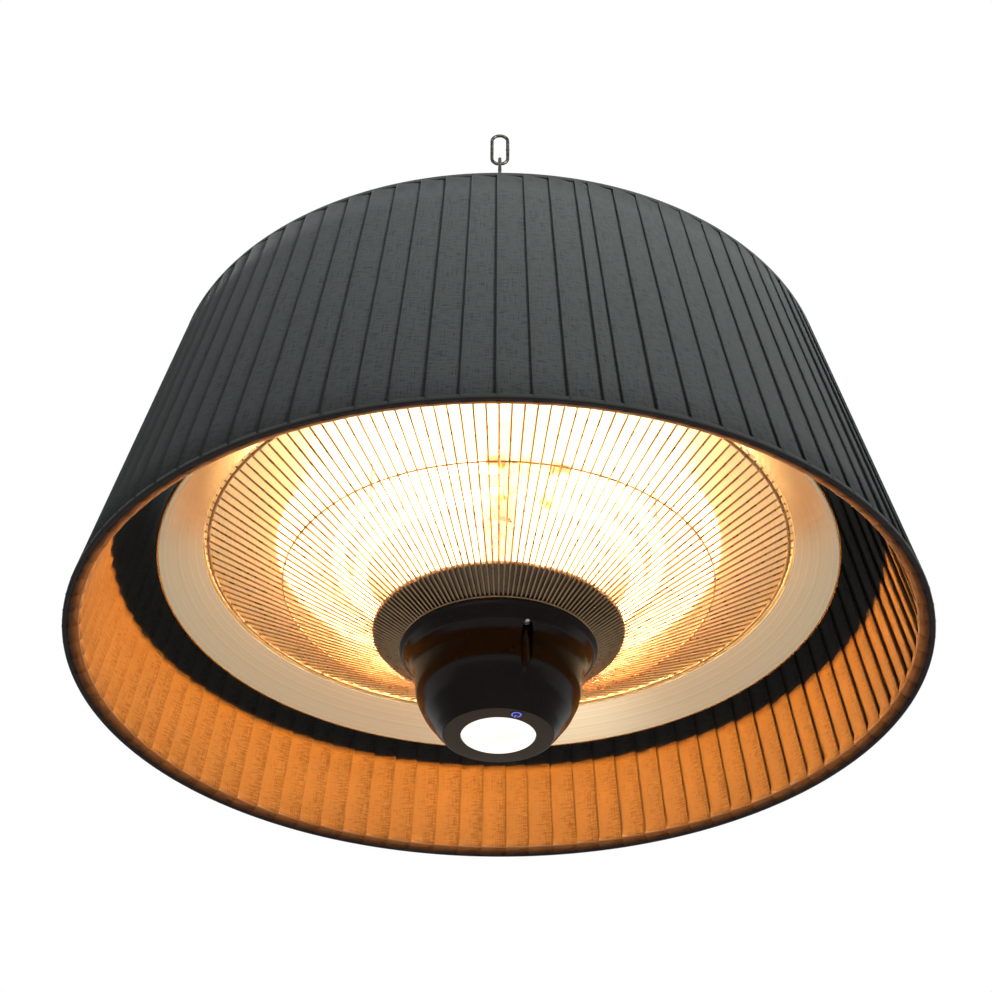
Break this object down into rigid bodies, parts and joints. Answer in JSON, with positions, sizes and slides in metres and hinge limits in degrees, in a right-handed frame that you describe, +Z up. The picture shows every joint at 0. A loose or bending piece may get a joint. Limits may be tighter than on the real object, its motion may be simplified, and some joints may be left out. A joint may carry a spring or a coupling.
{
  "type": "hanging patio heater",
  "caption": "Electric patio heater in a pleated drum shade, hung on a chain, with ring lamps behind a round wire guard and a bowl-shaped control housing.",
  "frame": {"origin": "the point on the axis where the top link's inner top rests on the hook that holds it", "axes": "+Z up along the chain and the heater's axis, -Y towards the front with the power button, +X to the right seen from the front"},
  "size_m": [0.6, 0.5986, 0.6103],
  "materials": {
    "chain_steel": "dark oiled steel, smooth and slightly shiny",
    "zinc_steel": "bright plated steel",
    "black_paint": "black satin paint",
    "shade_cloth": "anthracite woven cloth in fine knife pleats",
    "binding_cloth": "black bound edge",
    "satin_aluminium": "satin spun aluminium",
    "quartz": "clear quartz, glowing amber",
    "filament": "glowing orange coil",
    "white_ceramic": "matt white ceramic",
    "guard_steel": "bright wire that reflects the lamps' orange",
    "shield_steel": "heat-stained steel",
    "brown_plastic": "glossy near-black brown",
    "board": "green circuit board",
    "pale_plastic": "pale potting case",
    "dark_plastic": "black moulded plastic",
    "lens_white": "milky white diffuser, lit",
    "symbol_blue": "blue light guide, lit",
    "heat_sleeve": "woven glass sleeve"
  },
  "bodies": {
    "root": {"chain_link_1": "chain_steel"},
    "link_2": {"chain_link_2": "chain_steel"},
    "link_3": {"chain_link_3": "chain_steel"},
    "link_4": {"chain_link_4": "chain_steel"},
    "link_5": {"chain_link_5": "chain_steel"},
    "link_6": {"chain_link_6": "chain_steel"},
    "link_7": {"chain_link_7": "chain_steel"},
    "link_8": {"chain_link_8": "chain_steel"},
    "link_9": {"chain_link_9": "chain_steel"},
    "heater": {"bracket_screw_left": "zinc_steel", "bracket_screw_right": "zinc_steel", "button_switch": "dark_plastic", "cable_gland": "dark_plastic", "centre_column": "zinc_steel", "column_bottom_nut": "black_paint", "column_top_nut": "black_paint", "control_board": "board", "control_housing": "brown_plastic", "cross_bracket": "zinc_steel", "eye_bolt": "chain_steel", "eye_bolt_nut": "zinc_steel", "eye_bolt_washer": "zinc_steel", "gland_nut": "dark_plastic", "guard_middle_ring": "guard_steel", "hanger_stem": "black_paint", "heat_shield": "shield_steel", "housing_lid": "black_paint", "housing_screw_1": "zinc_steel", "housing_screw_2": "zinc_steel", "housing_screw_3": "zinc_steel", "inner_lamp_filament": "filament", "inner_lamp_left_end": "white_ceramic", "inner_lamp_right_end": "white_ceramic", "inner_lamp_tube": "quartz", "lamp_board": "board", "lamp_clip_1": "zinc_steel", "lamp_clip_2": "zinc_steel", "lamp_clip_3": "zinc_steel", "lamp_lens": "lens_white", "lead_bushing": "white_ceramic", "outer_lamp_filament": "filament", "outer_lamp_left_end": "white_ceramic", "outer_lamp_right_end": "white_ceramic", "outer_lamp_tube": "quartz", "power_module": "pale_plastic", "reflector": "satin_aluminium", "shade_bottom_binding": "binding_cloth", "shade_bottom_ring": "black_paint", "shade_fabric": "shade_cloth", "shade_top_binding": "binding_cloth", "shade_top_frame": "black_paint", "stem_screw_left": "zinc_steel", "stem_screw_right": "zinc_steel", "terminal_block": "white_ceramic", "thermal_cutout": "dark_plastic", "top_cover": "black_paint", "wire_guard": "guard_steel", "wiring_loom": "heat_sleeve"},
    "button": {"power_button": "brown_plastic", "power_symbol": "symbol_blue"}
  },
  "joints": [
    {"name": "link_2_swing", "type": "hinge", "parent": "root", "child": "link_2", "pos_m": [0, 0, -0.0355], "axis": [1, 0, 0], "range_deg": [-80, 80]},
    {"name": "link_3_swing", "type": "hinge", "parent": "link_2", "child": "link_3", "pos_m": [0, 0, -0.0692], "axis": [0, 1, 0], "range_deg": [-80, 80]},
    {"name": "link_4_swing", "type": "hinge", "parent": "link_3", "child": "link_4", "pos_m": [0, 0, -0.1029], "axis": [-1, 0, 0], "range_deg": [-80, 80]},
    {"name": "link_5_swing", "type": "hinge", "parent": "link_4", "child": "link_5", "pos_m": [0, 0, -0.1366], "axis": [0, -1, 0], "range_deg": [-80, 80]},
    {"name": "link_6_swing", "type": "hinge", "parent": "link_5", "child": "link_6", "pos_m": [0, 0, -0.1703], "axis": [1, 0, 0], "range_deg": [-80, 80]},
    {"name": "link_7_swing", "type": "hinge", "parent": "link_6", "child": "link_7", "pos_m": [0, 0, -0.204], "axis": [0, 1, 0], "range_deg": [-80, 80]},
    {"name": "link_8_swing", "type": "hinge", "parent": "link_7", "child": "link_8", "pos_m": [0, 0, -0.2377], "axis": [-1, 0, 0], "range_deg": [-80, 80]},
    {"name": "link_9_swing", "type": "hinge", "parent": "link_8", "child": "link_9", "pos_m": [0, 0, -0.2714], "axis": [0, -1, 0], "range_deg": [-80, 80]},
    {"name": "heater_swing", "type": "hinge", "parent": "link_9", "child": "heater", "pos_m": [0, 0, -0.3051], "axis": [1, 0, 0], "range_deg": [-75, 75]},
    {"name": "power_button_press", "type": "slide", "parent": "heater", "child": "button", "axis": [0, 0, 1], "range_m": [0, 0.0008], "stiffness_N_per_m": 600, "springref_m": -0.0015}
  ]
}
